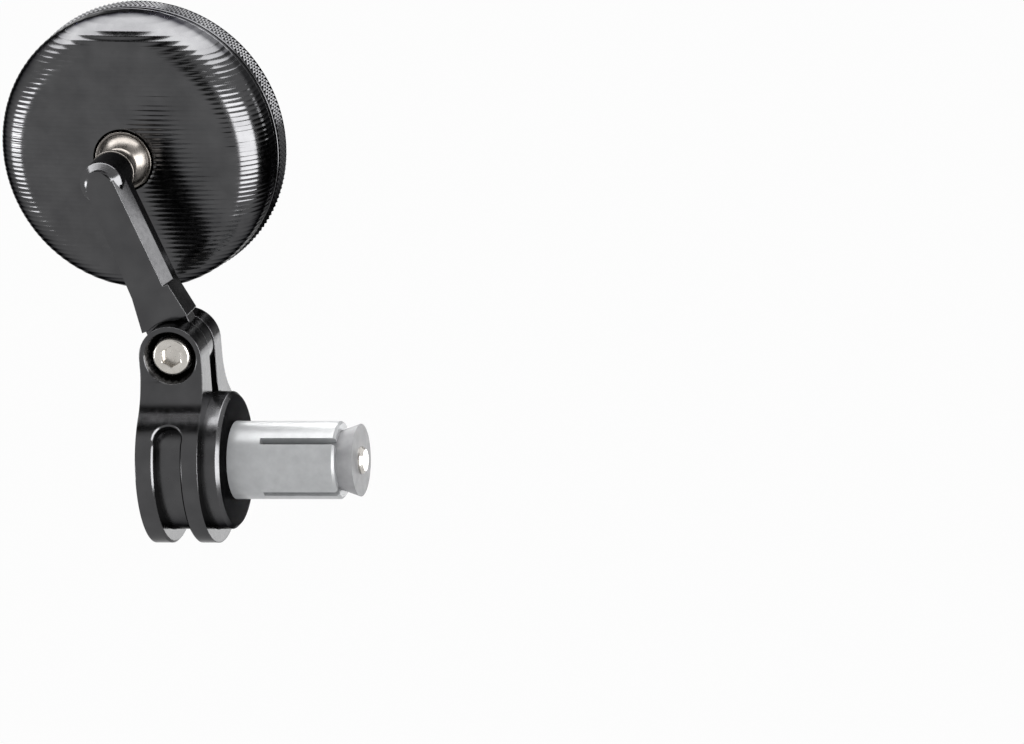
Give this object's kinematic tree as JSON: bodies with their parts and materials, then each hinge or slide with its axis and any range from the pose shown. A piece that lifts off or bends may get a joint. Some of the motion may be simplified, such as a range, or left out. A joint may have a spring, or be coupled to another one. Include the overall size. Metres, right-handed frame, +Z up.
{
  "type": "motorcycle bar end mirror",
  "caption": "Round bar end mirror with a machined dome back and knurled rim, on a folding arm and ball stud, clamped to a plug that expands in the handlebar's end.",
  "frame": {"origin": "on the handlebar's axis, where the plug's shoulder meets the end of the bar", "axes": "+X along the handlebar towards its middle, -Y ahead of the motorcycle, +Z up, along the height of the mirror"},
  "size_m": [0.0846, 0.0563, 0.1123],
  "materials": {
    "black_anodised": "satin black anodised, machined",
    "plain_aluminium": "turned",
    "steel": "stainless, satin",
    "polished_steel": "stainless, polished",
    "nylon": "moulded",
    "mirror": "silvered glass",
    "black_rubber": "matt",
    "foam": "closed cell foam"
  },
  "bodies": {
    "bar_end": {"end_plug": "black_anodised", "expander_sleeve": "plain_aluminium", "cone_nut": "steel", "centre_bolt": "steel", "bolt_washer": "steel"},
    "clamp": {"clamp": "black_anodised", "pivot_bolt": "steel"},
    "arm": {"arm": "black_anodised", "ball_stud": "polished_steel"},
    "seat": {"ball_seat": "nylon"},
    "cup": {"pressure_cup": "plain_aluminium"},
    "head": {"dome_housing": "black_anodised", "ball_retainer": "polished_steel", "disc_spring": "steel", "retaining_plate": "plain_aluminium", "plate_screws": "steel", "rim_ring": "black_anodised", "mirror_glass": "mirror", "glass_seal": "black_rubber", "glass_pad": "foam"}
  },
  "joints": [
    {"name": "clamp_turn", "type": "hinge", "parent": "bar_end", "child": "clamp", "pos_m": [-0.011, 0, 0], "axis": [1, 0, 0], "continuous": true},
    {"name": "arm_fold", "type": "hinge", "parent": "clamp", "child": "arm", "pos_m": [-0.011, 0, 0.0253], "axis": [0, 1, 0], "range_deg": [-25, 65]},
    {"name": "head_pitch", "type": "hinge", "parent": "arm", "child": "seat", "pos_m": [-0.02514, 0.0194, 0.06293], "axis": [1, 0, 0], "range_deg": [-18, 18]},
    {"name": "head_yaw", "type": "hinge", "parent": "seat", "child": "cup", "pos_m": [-0.02514, 0.0194, 0.06293], "axis": [0, 0, 1], "range_deg": [-13, 23]},
    {"name": "head_spin", "type": "hinge", "parent": "cup", "child": "head", "pos_m": [-0.02514, 0.0194, 0.06293], "axis": [-0.0872, -0.9962, 0], "continuous": true}
  ]
}
